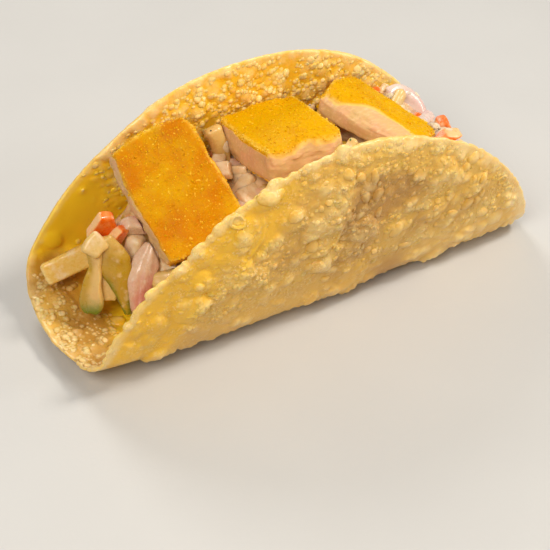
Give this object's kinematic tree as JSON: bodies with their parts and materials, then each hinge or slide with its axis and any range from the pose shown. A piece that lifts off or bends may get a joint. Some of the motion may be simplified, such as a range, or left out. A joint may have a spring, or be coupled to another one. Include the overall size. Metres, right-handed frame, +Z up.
{
  "type": "taco",
  "caption": "Folded crisp taco: a blistered fried tortilla shell filled with dressed chopped salad and slices of breaded chicken.",
  "frame": {"origin": "middle of the overall box in plan, on the surface the taco stands on", "axes": "+X along the fold, +Y towards the back wall, +Z up"},
  "size_m": [0.1512, 0.0609, 0.0622],
  "materials": {
    "fried_shell": "fried tortilla, blistered and faintly oily",
    "dressed_salad": "chopped vegetables wet with creamy dressing",
    "breaded_chicken": "golden crumb crust with pale meat at the cut sides"
  },
  "bodies": {
    "root": {"shell": "fried_shell", "salad": "dressed_salad", "chicken_1": "breaded_chicken", "chicken_2": "breaded_chicken", "chicken_3": "breaded_chicken"}
  },
  "joints": []
}
